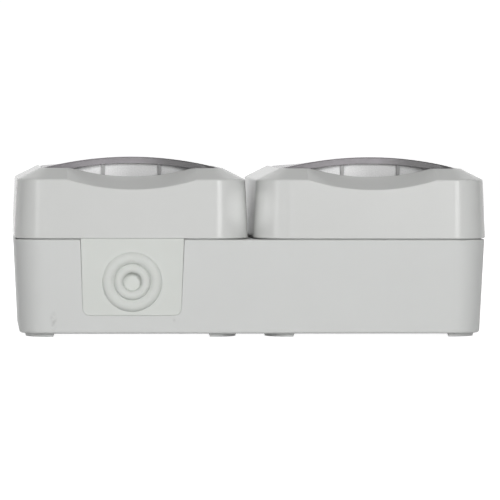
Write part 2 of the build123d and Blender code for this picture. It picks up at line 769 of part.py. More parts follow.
def make_earth_strap(x):
    """Folded strap under the carrier, with sprung clips up both sides of the well and a screw wing."""
    strap_z = carrier_bottom_z - earth_sheet / 2
    tip_z = collar_top_z - earth_clip_drop
    bulge_z = tip_z - earth_bulge_half
    side = [
        (earth_arm_y, strap_z),
        (earth_arm_y, bulge_z - earth_bulge_half),
        (earth_arm_y - earth_bulge, bulge_z),
        (earth_arm_y, tip_z),
    ]
    other_side = [(-y, z) for y, z in reversed(side)]
    with BuildPart() as earth_strap:
        with BuildSketch(facing_side(x - earth_width / 2, 0, 0)):
            with BuildLine():
                FilletPolyline(*other_side, *side, radius=earth_bend_radius)
            trace(line_width=earth_sheet)
        extrude(amount=earth_width)
        with BuildSketch(facing_side(x, -earth_arm_y, wing_z)):
            Rectangle(earth_sheet, earth_wing_height)
        extrude(amount=earth_width / 2 + earth_wing_length)
        with BuildSketch(facing_front(x + wing_screw_x, -earth_arm_y + earth_sheet)):
            with Locations((0, wing_z)):
                Circle(terminal_screw_radius + screw_fit)
        extrude(amount=2 * earth_sheet, mode=Mode.SUBTRACT)
    return earth_strap


def make_bar(contact_side, tail_side):
    """Upright brass bar that links the like contacts of the two gangs."""
    with BuildPart() as bar:
        with BuildSketch(level(contact_side * terminal_x, tail_z - tail_slot_gap)):
            with Locations((0, tail_side * (bar_face_y + bar_thickness / 2))):
                Rectangle(gang_pitch + tail_width, bar_thickness)
        extrude(amount=bar_height)
    return bar


def make_earth_bar():
    """Flat bar under both earth straps."""
    with BuildPart() as earth_bar:
        with BuildSketch(level(0, carrier_bottom_z - earth_sheet)):
            Rectangle(gang_pitch + earth_width + 2 * earth_bar_overlap, earth_bar_width)
        extrude(amount=-bar_thickness)
    return earth_bar


def make_screw(plane, shank_radius, shank_length, head_radius, head_height):
    """Slotted screw, seated on a plane that faces the way its head does."""
    with BuildPart() as screw:
        with BuildSketch(plane):
            Circle(head_radius)
        extrude(amount=head_height)
        with BuildSketch(plane):
            Circle(shank_radius)
        extrude(amount=-shank_length)
        with BuildSketch(plane.offset(head_height)):
            Rectangle(2 * head_radius, screw_slot_width)
        extrude(amount=-screw_slot_depth, mode=Mode.SUBTRACT)
    return screw.part


def make_screw_group(seats, shank_radius, shank_length, head_radius, head_height):
    """Like screws on several seats, as one group of separate solids."""
    screws = [make_screw(seat, shank_radius, shank_length, head_radius, head_height) for seat in seats]
    with BuildPart() as group:
        add(screws)
    return group


def make_well_screws():
    """One screw in the middle of each well, which holds face, well and cover to the carrier."""
    seats = [level(x, well_floor_z - well_screw_head_height) for x in gang_centres.values()]
    return make_screw_group(
        seats, well_screw_radius, well_screw_length, well_screw_head_radius, well_screw_head_height
    )


def make_carrier_screws():
    """Two screws at opposite corners of each carrier."""
    seats = [
        Plane(origin=(x + sign * carrier_screw_x, sign * carrier_screw_y, carrier_plate_top_z))
        for x in gang_centres.values()
        for sign in (-1, 1)
    ]
    length = carrier_plate_thickness + carrier_screw_bite
    return make_screw_group(
        seats, carrier_screw_radius, length, carrier_screw_head_radius, carrier_screw_head_height
    )


def make_terminal_screws():
    """Live, neutral and earth terminal screws of both gangs."""
    terminal_top_z = chamber_floor_z + contact_sheet + terminal_height
    wing_face_y = -earth_arm_y - earth_sheet / 2
    seats = []
    for x in gang_centres.values():
        seats.append(level(x - terminal_x, terminal_top_z))
        seats.append(level(x + terminal_x, terminal_top_z))
        wing_origin = (x + wing_screw_x, wing_face_y, wing_z)
        seats.append(Plane(origin=wing_origin, x_dir=(1, 0, 0), z_dir=(0, -1, 0)))
    return make_screw_group(
        seats,
        terminal_screw_radius,
        terminal_screw_length,
        terminal_screw_head_radius,
        terminal_screw_head_height,
    )


os.makedirs("parts", exist_ok=True)
save(make_base_box(), "base_box")
save(make_entry_grommet(), "entry_grommet")
for side, gang_x in gang_centres.items():
    save(make_cover(gang_x), f"{side}_cover")
    save(make_cover_gasket(gang_x), f"{side}_cover_gasket")
    save(make_lid(gang_x), f"{side}_lid")
    save(make_lid_seal(gang_x), f"{side}_lid_seal")
    save(make_hinge_pin(gang_x), f"{side}_hinge_pin")
    save(make_lid_spring(gang_x), f"{side}_lid_spring")
    save(make_socket_well(gang_x), f"{side}_socket_well")
    save(make_pin_face(gang_x), f"{side}_pin_face")
    save(make_contact_carrier(gang_x), f"{side}_contact_carrier")
    save(make_contact(gang_x, -1, 1), f"{side}_live_contact")
    save(make_contact(gang_x, 1, -1), f"{side}_neutral_contact")
    save(make_earth_strap(gang_x), f"{side}_earth_strap")
save(make_bar(-1, 1), "live_bar")
save(make_bar(1, -1), "neutral_bar")
save(make_earth_bar(), "earth_bar")
save(make_well_screws(), "well_screws")
save(make_carrier_screws(), "carrier_screws")
save(make_terminal_screws(), "terminal_screws")
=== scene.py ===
# %% [markdown]
# # A twin outdoor socket in its studio
#
# The solids of the socket come packed from the CAD step: a long box, two square covers with
# arched smoky lids, and everything a plug needs under them. This lesson dresses that frame. It
# sets the camera, the floor and the softboxes, gives every piece a smooth skin and a finish made
# of shader nodes, and makes the springs and screws with Geometry Nodes. All lengths are metres in
# the CAD's own frame: X along the two gangs, -Y towards the camera, +Z out of the wall.

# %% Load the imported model
import json
import math

import bmesh
import bpy
from mathutils import Matrix, Vector


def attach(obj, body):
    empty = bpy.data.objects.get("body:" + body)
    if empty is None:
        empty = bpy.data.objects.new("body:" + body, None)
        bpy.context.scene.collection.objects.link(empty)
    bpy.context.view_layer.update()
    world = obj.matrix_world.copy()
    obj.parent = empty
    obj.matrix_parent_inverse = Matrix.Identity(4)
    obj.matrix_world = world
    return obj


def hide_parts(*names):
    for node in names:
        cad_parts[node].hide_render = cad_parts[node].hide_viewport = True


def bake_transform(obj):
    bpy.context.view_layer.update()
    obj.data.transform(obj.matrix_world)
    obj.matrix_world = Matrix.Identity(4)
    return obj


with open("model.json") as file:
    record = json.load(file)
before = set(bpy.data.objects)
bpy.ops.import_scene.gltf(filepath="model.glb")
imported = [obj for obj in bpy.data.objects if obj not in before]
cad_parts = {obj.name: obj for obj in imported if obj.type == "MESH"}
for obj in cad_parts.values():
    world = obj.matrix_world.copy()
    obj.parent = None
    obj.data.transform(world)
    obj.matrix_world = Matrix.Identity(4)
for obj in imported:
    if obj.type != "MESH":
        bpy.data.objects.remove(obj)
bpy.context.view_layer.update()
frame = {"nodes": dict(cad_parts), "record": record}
gang_centres = {"left": -0.0354, "right": 0.0354}
scene = bpy.context.scene

# %% [markdown]
# ## The camera
#
# The socket lies on its back and is seen from its lower long side by a nearly level camera a
# little to the left of the middle. A long lens from over a metre away keeps both gangs almost the
# same size. The place, turn and lens were found by matching edges that the photograph shows
# clearly, such as the seam, the corners and the entry plate, so nothing is shifted by eye.

# %% Camera
camera_place = Vector((-0.0835, -1.2, 0.067))
camera_yaw = 0.0708
camera_pitch = -0.0353
camera_roll = 0.0032
focal_pixels = 3979.0
image_pixels = 500.0
sensor_width = 36.0

camera_data = bpy.data.cameras.new("studio_camera")
camera_data.sensor_width = sensor_width
camera_data.lens = focal_pixels / image_pixels * sensor_width
camera_data.clip_start = 0.01
camera_data.clip_end = 50.0
camera = bpy.data.objects.new("studio_camera", camera_data)
scene.collection.objects.link(camera)
look = Vector((
    math.sin(camera_yaw) * math.cos(camera_pitch),
    math.cos(camera_yaw) * math.cos(camera_pitch),
    math.sin(camera_pitch),
))
turn = look.to_track_quat("-Z", "Y").to_matrix().to_4x4() @ Matrix.Rotation(camera_roll, 4, "Z")
camera.matrix_world = Matrix.Translation(camera_place) @ turn
scene.camera = camera
scene.view_settings.view_transform = "Standard"
print("lens", round(camera_data.lens, 1), "mm from", round(camera_place.length, 2), "m")

# %% [markdown]
# ## Building shader trees in code
#
# Every finish below is a small tree of shader nodes. One helper adds a node and fills in its
# sockets, and another joins two sockets, so that each finish reads as a list of what it is made of.

# %% Node helpers
def add_node(tree, kind, settings=None, **sockets):
    """Add a shader node, set its properties, then its input values by socket name."""
    node = tree.nodes.new(kind)
    for name, value in (settings or {}).items():
        setattr(node, name, value)
    for name, value in sockets.items():
        node.inputs[name.replace("_", " ")].default_value = value
    return node


def join(tree, source, output, target, socket):
    """Link an output of one node to an input of another, each by its name or number."""
    tree.links.new(source.outputs[output], target.inputs[socket])


def blank_finish(name):
    """A material with an empty tree, its output node and a principled shader."""
    material = bpy.data.materials.new(name)
    material.use_nodes = True
    tree = material.node_tree
    tree.nodes.clear()
    output = add_node(tree, "ShaderNodeOutputMaterial")
    shader = add_node(tree, "ShaderNodeBsdfPrincipled")
    join(tree, shader, "BSDF", output, "Surface")
    return material, tree, shader


print("helpers ready")

# %% [markdown]
# ## Floor and backdrop
#
# The photograph has a plain white ground. A large sheet curves up behind the socket, so there is
# no horizon. Only for rays from the camera, mirrors and clear plastic does it glow a little, which
# lifts the pale sheet to white and still leaves the soft shadow of the feet on it. All other light
# meets a plain matt sheet, so the socket gets no extra light from this. The sheet lies a tenth of a
# millimetre below the feet, because two faces in one plane flicker.

# %% Floor sheet
floor_half_width = 4.0
floor_front = -3.0
floor_bend_start = 1.6
floor_bend_radius = 1.2
floor_top = 3.5
floor_level = -0.0001
bend_steps = 16

floor_profile = [(floor_front, floor_level), (floor_bend_start, floor_level)]
for step in range(1, bend_steps + 1):
    angle = math.pi / 2 * step / bend_steps
    floor_profile.append((
        floor_bend_start + floor_bend_radius * math.sin(angle),
        floor_level + floor_bend_radius * (1 - math.cos(angle)),
    ))
floor_profile.append((floor_bend_start + floor_bend_radius, floor_top))
floor_mesh = bpy.data.meshes.new("floor_sheet")
floor_points = [(side * floor_half_width, y, z) for y, z in floor_profile for side in (-1, 1)]
floor_faces = [(2 * k, 2 * k + 1, 2 * k + 3, 2 * k + 2) for k in range(len(floor_profile) - 1)]
floor_mesh.from_pydata(floor_points, [], floor_faces)
floor_mesh.polygons.foreach_set("use_smooth", [True] * len(floor_faces))
floor = bpy.data.objects.new("floor_sheet", floor_mesh)
scene.collection.objects.link(floor)
print("floor sheet", len(floor_faces), "faces")

# %% Floor finish
floor_glow = 0.95
floor_colour = (0.6, 0.6, 0.6, 1.0)
floor_finish = bpy.data.materials.new("floor_paper")
floor_finish.use_nodes = True
floor_tree = floor_finish.node_tree
floor_tree.nodes.clear()
floor_output = add_node(floor_tree, "ShaderNodeOutputMaterial")
paper = add_node(floor_tree, "ShaderNodeBsdfDiffuse", Color=floor_colour)
glow = add_node(floor_tree, "ShaderNodeEmission", Strength=floor_glow)
lifted = add_node(floor_tree, "ShaderNodeAddShader")
choice = add_node(floor_tree, "ShaderNodeMixShader")
ray = add_node(floor_tree, "ShaderNodeLightPath")
seen = add_node(floor_tree, "ShaderNodeMath", {"operation": "MAXIMUM"})
seen_at_all = add_node(floor_tree, "ShaderNodeMath", {"operation": "MAXIMUM"})
join(floor_tree, ray, "Is Camera Ray", seen, 0)
join(floor_tree, ray, "Is Glossy Ray", seen, 1)
join(floor_tree, seen, "Value", seen_at_all, 0)
join(floor_tree, ray, "Is Transmission Ray", seen_at_all, 1)
join(floor_tree, paper, "BSDF", lifted, 0)
join(floor_tree, glow, "Emission", lifted, 1)
join(floor_tree, seen_at_all, "Value", choice, "Fac")
join(floor_tree, paper, "BSDF", choice, 1)
join(floor_tree, lifted, "Shader", choice, 2)
join(floor_tree, choice, "Shader", floor_output, "Surface")
floor_mesh.materials.append(floor_finish)
print("floor finish", floor_finish.name)

# %% [markdown]
# ## Softboxes
#
# Two low softboxes light the fronts: a strong one about 11 degrees to the right and a weaker one
# about 22 degrees to the left. Surfaces that face up or sideways are darker than the fronts, so
# there is no top light, and a weak even world only fills the shadows. A third softbox stands high
# behind the socket and two weak fills stand behind its left and right sides. They hardly reach what
# the camera sees, and light the lids, sides and back in views from elsewhere. The upright stripes
# on the rounded corners of the covers are reflections of strip lights. To set the two apart, the
# softboxes are hidden from glossy rays and the strips from diffuse ones, so that the level of the
# fronts and the strength of the stripes can be matched one after the other. A small spot from the
# front lifts the rounded corners beside the slot between the covers.

# %% Lamp helpers
light_target = Vector((0.0, 0.0, 0.03))
light_distance = 1.1
softbox_height = 0.6


def aimed(place, target):
    """Matrix of a lamp that stands at a place and shines at a target."""
    way = Vector(target) - Vector(place)
    return Matrix.Translation(place) @ way.to_track_quat("-Z", "Y").to_matrix().to_4x4()


def around(degrees_right, height):
    """Place on a circle about the socket, by its angle to the right of the front."""
    angle = math.radians(degrees_right)
    return (light_distance * math.sin(angle), -light_distance * math.cos(angle), height)


def add_softbox(name, place, width, power):
    """Rectangular area light at a place, turned towards the socket."""
    data = bpy.data.lights.new(name, "AREA")
    data.shape = "RECTANGLE"
    data.size = width
    data.size_y = softbox_height
    data.energy = power
    light = bpy.data.objects.new(name, data)
    scene.collection.objects.link(light)
    light.matrix_world = aimed(place, light_target)
    return light


print("lamps stand", light_distance, "m away")

# %% Softboxes and strips
softboxes = [
    add_softbox("left_softbox", around(-22.0, 0.38), width=0.42, power=3.98),
    add_softbox("right_softbox", around(11.0, 0.38), width=0.44, power=6.83),
    add_softbox("back_softbox", around(180.0, 0.75), width=0.8, power=6.0),
    add_softbox("left_fill", around(-125.0, 0.3), width=0.5, power=0.9),
    add_softbox("right_fill", around(125.0, 0.3), width=0.5, power=1.3),
]
strips = [
    add_softbox("left_strip", around(-43.0, 0.3), width=0.3, power=1.2),
    add_softbox("right_strip", around(20.0, 0.3), width=0.29, power=2.2),
]
for softbox in softboxes:
    softbox.visible_glossy = False
for strip in strips:
    strip.visible_diffuse = False
print("softboxes", [light.name for light in softboxes], "strips", [light.name for light in strips])

# %% Slot spot and world
spot_place = (0.0, -1.0, 0.1)
spot_target = (-0.0005, -0.027, 0.038)
spot_angle = math.radians(0.5)
spot_power = 12.0
world_strength = 0.11

slot_lamp = bpy.data.lights.new("slot_spot", "SPOT")
slot_lamp.energy = spot_power
slot_lamp.spot_size = spot_angle
slot_lamp.spot_blend = 1.0
slot_spot = bpy.data.objects.new("slot_spot", slot_lamp)
scene.collection.objects.link(slot_spot)
slot_spot.matrix_world = aimed(spot_place, spot_target)

world = bpy.data.worlds.new("studio_world")
scene.world = world
world.use_nodes = True
world_light = world.node_tree.nodes["Background"]
world_light.inputs["Color"].default_value = (1.0, 1.0, 1.0, 1.0)
world_light.inputs["Strength"].default_value = world_strength
print("spot", slot_spot.name, "world", world.name)

# %% [markdown]
# ## Moulded plastic
#
# The box and covers are light-grey moulded plastic with a satin skin. A single flat colour would
# look like paper, so the tree mixes in a slow drift of tone, a fine spark-eroded grain as bump, a
# change of gloss, and very sparse dark specks of dust. The box also has two small smudges, at the
# places where the photograph shows them. A Bevel node softens sharp edges, as a mould's edges do.
# The patterns read Object coordinates, so they stay on the piece from any view.

# %% Dust and smudges
def dust_mask(tree, place, amount):
    """Sparse dust specks: small cells of a Voronoi pattern, kept only where a noise is high."""
    cells = add_node(tree, "ShaderNodeTexVoronoi", {"feature": "F1"}, Scale=95.0, Randomness=1.0)
    chance = add_node(tree, "ShaderNodeTexNoise", Scale=310.0, Detail=1.0)
    near = add_node(
        tree, "ShaderNodeMapRange", From_Min=0.03, From_Max=0.055, To_Min=amount, To_Max=0.0
    )
    rare = add_node(tree, "ShaderNodeMapRange", From_Min=0.60, From_Max=0.64)
    mask = add_node(tree, "ShaderNodeMath", {"operation": "MULTIPLY"})
    join(tree, place, "Object", cells, "Vector")
    join(tree, place, "Object", chance, "Vector")
    join(tree, cells, "Distance", near, "Value")
    join(tree, chance, "Fac", rare, "Value")
    join(tree, near, "Result", mask, 0)
    join(tree, rare, "Result", mask, 1)
    return mask


def smudge_mask(tree, place, centre, reach, amount):
    """Cloudy smudge that fades out from a centre, with its own reach along each axis."""
    shift = add_node(tree, "ShaderNodeVectorMath", {"operation": "SUBTRACT"})
    shift.inputs[1].default_value = centre
    shrink = add_node(tree, "ShaderNodeVectorMath", {"operation": "DIVIDE"})
    shrink.inputs[1].default_value = reach
    far = add_node(tree, "ShaderNodeVectorMath", {"operation": "LENGTH"})
    fade = add_node(
        tree, "ShaderNodeMapRange", From_Min=0.2, From_Max=1.0, To_Min=amount, To_Max=0.0
    )
    cloud = add_node(tree, "ShaderNodeTexNoise", Scale=900.0, Detail=3.0)
    torn = add_node(tree, "ShaderNodeMapRange", From_Min=0.35, From_Max=0.6)
    mask = add_node(tree, "ShaderNodeMath", {"operation": "MULTIPLY"})
    join(tree, place, "Object", shift, 0)
    join(tree, shift, "Vector", shrink, 0)
    join(tree, shrink, "Vector", far, 0)
    join(tree, far, "Value", fade, "Value")
    join(tree, place, "Object", cloud, "Vector")
    join(tree, cloud, "Fac", torn, "Value")
    join(tree, fade, "Result", mask, 0)
    join(tree, torn, "Result", mask, 1)
    return mask


def stain(tree, mask, colour, dirt):
    """Mix a dirt colour into a colour node by a mask and give back the mix."""
    mixed = add_node(tree, "ShaderNodeMix", {"data_type": "RGBA"})
    mixed.inputs["B"].default_value = dirt
    join(tree, mask, "Value", mixed, "Factor")
    join(tree, colour, "Result", mixed, "A")
    return mixed


dust_colour = (0.16, 0.15, 0.14, 1.0)
smudge_colour = (0.30, 0.30, 0.29, 1.0)
print("dirt colours", dust_colour[:3], smudge_colour[:3])

# %% Moulded plastic
mould_edge = 0.00022
tone_spread = 0.025
gloss_spread = 0.02


def moulded_plastic(
    name, colour, roughness, grain=0.00035, grain_depth=0.000004, dust=0.0, smudges=()
):
    """Satin moulded plastic with drifts of tone and gloss, a grain, and dirt where asked."""
    material, tree, shader = blank_finish(name)
    place = add_node(tree, "ShaderNodeTexCoord")
    drift = add_node(tree, "ShaderNodeTexNoise", Scale=45.0, Detail=3.0, Roughness=0.5)
    skin = add_node(tree, "ShaderNodeMix", {"data_type": "RGBA"})
    skin.inputs["A"].default_value = tuple((1 - tone_spread) * c for c in colour) + (1.0,)
    skin.inputs["B"].default_value = tuple((1 + tone_spread) * c for c in colour) + (1.0,)
    join(tree, place, "Object", drift, "Vector")
    join(tree, drift, "Fac", skin, "Factor")
    if dust:
        skin = stain(tree, dust_mask(tree, place, dust), skin, dust_colour)
    for centre, reach, amount in smudges:
        mask = smudge_mask(tree, place, centre, reach, amount)
        skin = stain(tree, mask, skin, smudge_colour)
    gloss_drift = add_node(tree, "ShaderNodeTexNoise", Scale=60.0, Detail=1.0)
    gloss = add_node(tree, "ShaderNodeMapRange")
    gloss.inputs["To Min"].default_value = roughness - gloss_spread
    gloss.inputs["To Max"].default_value = roughness + gloss_spread
    sparks = add_node(tree, "ShaderNodeTexNoise", Scale=1.0 / grain, Detail=2.0, Roughness=0.6)
    soft_edge = add_node(tree, "ShaderNodeBevel", {"samples": 4}, Radius=mould_edge)
    bump = add_node(tree, "ShaderNodeBump", Strength=0.4, Distance=grain_depth)
    join(tree, place, "Object", gloss_drift, "Vector")
    join(tree, gloss_drift, "Fac", gloss, "Value")
    join(tree, place, "Object", sparks, "Vector")
    join(tree, sparks, "Fac", bump, "Height")
    join(tree, soft_edge, "Normal", bump, "Normal")
    join(tree, skin, "Result", shader, "Base Color")
    join(tree, gloss, "Result", shader, "Roughness")
    join(tree, bump, "Normal", shader, "Normal")
    return material


print("soft edge", mould_edge, "m")

# %% Finishes of the box, covers and wells
corner_smudge = ((-0.0585, -0.033, 0.0046), (0.0013, 0.01, 0.0034), 0.36)
entry_mark = ((-0.0230, -0.033, 0.0051), (0.0006, 0.01, 0.0010), 0.28)
cover_plastic = moulded_plastic("cover_satin", (0.620, 0.626, 0.614), roughness=0.2, dust=0.5)
base_plastic = moulded_plastic(
    "box_satin", (0.612, 0.620, 0.610), roughness=0.48, dust=0.7,
    smudges=(corner_smudge, entry_mark),
)
well_plastic = moulded_plastic("well_satin", (0.66, 0.665, 0.65), roughness=0.38)
carrier_plastic = moulded_plastic(
    "carrier_matt", (0.72, 0.70, 0.63), roughness=0.55, grain=0.0006, grain_depth=0.00001
)
moulded = [cover_plastic, base_plastic, well_plastic, carrier_plastic]
print("moulded plastics", [finish.name for finish in moulded])

# %% [markdown]
# ## Soft entry plate and seals
#
# The cable entry is a soft plate, a touch greener and duller than the box. A little light goes
# into soft plastic and comes out again nearby, so it gets a small subsurface share. The seals are
# plain dark rubber with a dusty bloom.

# %% Soft plastics
rubber_edge = 0.0003
light_reach = 0.001


def soft_rubber(name, colour, bloom, roughness, depth=0.0):
    """Soft matt rubber whose tone drifts towards a paler bloom."""
    material, tree, shader = blank_finish(name)
    place = add_node(tree, "ShaderNodeTexCoord")
    cloud = add_node(tree, "ShaderNodeTexNoise", Scale=130.0, Detail=4.0, Roughness=0.6)
    tones = add_node(tree, "ShaderNodeMix", {"data_type": "RGBA"})
    tones.inputs["A"].default_value = colour + (1.0,)
    tones.inputs["B"].default_value = bloom + (1.0,)
    pores = add_node(tree, "ShaderNodeTexNoise", Scale=3200.0, Detail=2.0)
    soft_edge = add_node(tree, "ShaderNodeBevel", {"samples": 4}, Radius=rubber_edge)
    bump = add_node(tree, "ShaderNodeBump", Strength=0.4, Distance=0.000006)
    join(tree, place, "Object", cloud, "Vector")
    join(tree, cloud, "Fac", tones, "Factor")
    join(tree, place, "Object", pores, "Vector")
    join(tree, pores, "Fac", bump, "Height")
    join(tree, soft_edge, "Normal", bump, "Normal")
    join(tree, tones, "Result", shader, "Base Color")
    join(tree, bump, "Normal", shader, "Normal")
    shader.inputs["Roughness"].default_value = roughness
    shader.inputs["Subsurface Weight"].default_value = depth
    shader.inputs["Subsurface Scale"].default_value = light_reach
    shader.inputs["Subsurface Radius"].default_value = (1.0, 1.0, 0.9)
    return material


entry_rubber = soft_rubber(
    "entry_soft", (0.628, 0.645, 0.618), (0.652, 0.670, 0.643), roughness=0.55, depth=0.12
)
seal_rubber = soft_rubber(
    "seal_dark", (0.018, 0.018, 0.019), (0.035, 0.035, 0.036), roughness=0.6
)
print("soft plastics", entry_rubber.name, seal_rubber.name)

# %% [markdown]
# ## Smoky lids
#
# A lid is one moulding in smoky clear plastic. Its arched plate is glossy and lets some light
# through, while the skirt under the lip is frosted, so that it looks silver and grainy. Clear
# plastic carries light along its edge, and here both the edge and the skirt are lighter on the left
# and darker on the right, on each lid alike. A path tracer would need very many samples for that,
# so this light and shade is painted into the colour, by a ramp over the distance from the middle of
# the lid. The painted ramp fades out behind the lip and the skirt, so the plate itself has one
# tone.
# The two lids are one gang pitch apart, so a wrapped X coordinate serves both.

# %% Painted light and shade across a lid
gang_pitch = gang_centres["right"] - gang_centres["left"]
ramp_half = 0.022


def across_lid(tree, place, fade):
    """Distance in X from the middle of the nearest lid, which fades out between two depths in Y."""
    parts = add_node(tree, "ShaderNodeSeparateXYZ")
    local = add_node(tree, "ShaderNodeMath", {"operation": "WRAP"})
    local.inputs[1].default_value = gang_pitch
    local.inputs[2].default_value = 0.0
    centred = add_node(tree, "ShaderNodeMath", {"operation": "SUBTRACT"})
    centred.inputs[1].default_value = gang_pitch / 2
    near_front = add_node(
        tree, "ShaderNodeMapRange", From_Min=fade[0], From_Max=fade[1], To_Min=1.0, To_Max=0.0
    )
    faded = add_node(tree, "ShaderNodeMath", {"operation": "MULTIPLY"})
    join(tree, place, "Object", parts, "Vector")
    join(tree, parts, "X", local, 0)
    join(tree, local, "Value", centred, 0)
    join(tree, parts, "Y", near_front, "Value")
    join(tree, centred, "Value", faded, 0)
    join(tree, near_front, "Result", faded, 1)
    return faded


def painted_light_ramp(tree, source, stops):
    """Colour ramp painting light and shade across a lid; its (share, colour) stops end at 0 and 1.
    """
    span = add_node(tree, "ShaderNodeMapRange", From_Min=-ramp_half, From_Max=ramp_half)
    ramp = add_node(tree, "ShaderNodeValToRGB")
    join(tree, source, "Value", span, "Value")
    join(tree, span, "Result", ramp, "Fac")
    elements = ramp.color_ramp.elements
    for share, colour in stops[1:-1]:
        elements.new(share).color = colour + (1.0,)
    elements[0].color = stops[0][1] + (1.0,)
    elements[-1].color = stops[-1][1] + (1.0,)
    return ramp


print("lid pitch", round(gang_pitch, 4), "m")

# %% Lid plastic
lid_ior = 1.49


def lid_finish(name, stops, fade, roughness, clear, grain_scale, grain_mix, edge):
    """Lid plastic whose tone follows a painted light and shade ramp across the lid, with a fine
    grain over it.
    """
    material, tree, shader = blank_finish(name)
    place = add_node(tree, "ShaderNodeTexCoord")
    # the ramp paints light on the left of each lid and shade on its right
    ramp = painted_light_ramp(tree, across_lid(tree, place, fade), stops)
    grain = add_node(tree, "ShaderNodeTexNoise", Scale=grain_scale, Detail=3.0, Roughness=0.6)
    speckle = add_node(tree, "ShaderNodeMapRange", From_Min=0.3, From_Max=0.7)
    speckle.inputs["To Min"].default_value = 1.0 - grain_mix
    speckle.inputs["To Max"].default_value = 1.0 + grain_mix
    tone = add_node(tree, "ShaderNodeVectorMath", {"operation": "SCALE"})
    soft_edge = add_node(tree, "ShaderNodeBevel", {"samples": 4}, Radius=edge)
    bump = add_node(tree, "ShaderNodeBump", Strength=0.3, Distance=0.00001)
    join(tree, place, "Object", grain, "Vector")
    join(tree, grain, "Fac", speckle, "Value")
    join(tree, ramp, "Color", tone, "Vector")
    join(tree, speckle, "Result", tone, "Scale")
    join(tree, grain, "Fac", bump, "Height")
    join(tree, soft_edge, "Normal", bump, "Normal")
    join(tree, tone, "Vector", shader, "Base Color")
    join(tree, bump, "Normal", shader, "Normal")
    shader.inputs["Roughness"].default_value = roughness
    shader.inputs["Transmission Weight"].default_value = clear
    shader.inputs["IOR"].default_value = lid_ior
    return material


print("lid plastic bends light by", lid_ior)

# %% Lid finishes
# smoky tone of the plate, with painted light on the left of the lip and painted shade on its right
smoke_and_painted_light_stops = [
    (0.0, (0.30, 0.285, 0.30)),
    (0.3, (0.37, 0.352, 0.37)),
    (0.55, (0.37, 0.352, 0.37)),
    (0.75, (0.165, 0.16, 0.163)),
    (1.0, (0.13, 0.127, 0.129)),
]
# frosted skirt tone, with painted light on its left and painted shade on its right
frost_and_painted_light_stops = [
    (0.0, (0.88, 0.88, 0.88)),
    (0.3, (0.80, 0.80, 0.80)),
    (0.5, (0.57, 0.57, 0.57)),
    (0.65, (0.52, 0.52, 0.52)),
    (0.75, (0.50, 0.50, 0.50)),
    (1.0, (0.48, 0.48, 0.48)),
]
# tone of the bars, with painted light on the left bar and painted shade on the right one
bar_and_painted_light_stops = [
    (0.0, (0.36, 0.36, 0.36)),
    (0.45, (0.36, 0.36, 0.36)),
    (0.6, (0.22, 0.22, 0.22)),
    (1.0, (0.22, 0.22, 0.22)),
]
lip_fade = (-0.0256, -0.0238)
skirt_fade = (-0.0245, -0.018)
lid_smoke = lid_finish(
    "lid_smoke", smoke_and_painted_light_stops, lip_fade,
    roughness=0.25, clear=0.3, grain_scale=420.0, grain_mix=0.05, edge=0.0002,
)
lid_frost = lid_finish(
    "lid_frost", frost_and_painted_light_stops, skirt_fade,
    roughness=0.45, clear=0.0, grain_scale=2600.0, grain_mix=0.09, edge=0.0001,
)
lid_bar_smoke = lid_finish(
    "lid_bar_smoke", bar_and_painted_light_stops, skirt_fade,
    roughness=0.45, clear=0.0, grain_scale=900.0, grain_mix=0.06, edge=0.0001,
)
print("lid finishes", lid_smoke.name, lid_frost.name, lid_bar_smoke.name)

# %% [markdown]
# ## Metals
#
# Contacts, straps and bars are rolled brass sheet, and pins, springs and screws are zinc-plated
# steel. Both are fully metallic. Noise that is stretched along one axis gives the fine lines of
# rolling or drawing, as a change of gloss and a slight bump.

# %% Metals
line_stretch = 0.06
roughness_dip = 0.07
roughness_rise = 0.09
dull_share = 0.85


def drawn_metal(name, colour, roughness, line_scale):
    """Metal with fine drawn lines along X and a slow change of tone."""
    material, tree, shader = blank_finish(name)
    place = add_node(tree, "ShaderNodeTexCoord")
    stretch = add_node(tree, "ShaderNodeMapping")
    stretch.inputs["Scale"].default_value = (line_stretch * line_scale, line_scale, line_scale)
    lines = add_node(tree, "ShaderNodeTexNoise", Scale=1.0, Detail=3.0)
    gloss = add_node(tree, "ShaderNodeMapRange", From_Min=0.3, From_Max=0.7)
    gloss.inputs["To Min"].default_value = roughness - roughness_dip
    gloss.inputs["To Max"].default_value = roughness + roughness_rise
    cloud = add_node(tree, "ShaderNodeTexNoise", Scale=160.0, Detail=2.0)
    tones = add_node(tree, "ShaderNodeMix", {"data_type": "RGBA"})
    tones.inputs["A"].default_value = tuple(dull_share * c for c in colour) + (1.0,)
    tones.inputs["B"].default_value = colour + (1.0,)
    bump = add_node(tree, "ShaderNodeBump", Strength=0.3, Distance=0.000005)
    join(tree, place, "Object", stretch, "Vector")
    join(tree, stretch, "Vector", lines, "Vector")
    join(tree, lines, "Fac", gloss, "Value")
    join(tree, lines, "Fac", bump, "Height")
    join(tree, place, "Object", cloud, "Vector")
    join(tree, cloud, "Fac", tones, "Factor")
    join(tree, tones, "Result", shader, "Base Color")
    join(tree, gloss, "Result", shader, "Roughness")
    join(tree, bump, "Normal", shader, "Normal")
    shader.inputs["Metallic"].default_value = 1.0
    return material


brass = drawn_metal("rolled_brass", (0.78, 0.58, 0.27), roughness=0.37, line_scale=2400.0)
steel = drawn_metal("plated_steel", (0.63, 0.63, 0.62), roughness=0.37, line_scale=3000.0)
print("metals", brass.name, steel.name)

# %% [markdown]
# ## Smooth skins over the CAD solids
#
# The CAD solids arrive as loose flat triangles, and a rounded corner made of them shows its
# facets. Each visible piece therefore gets a skin: a copy of the solid's mesh whose doubled points
# are merged, whose level triangles are joined to whole faces, and whose faces are shaded smooth up
# to a sharp angle. Normals are weighted by face area, so that flat sides stay flat beside their
# rounded edges. The skin has the solid's exact shape, stands in for it and rides on the same body.

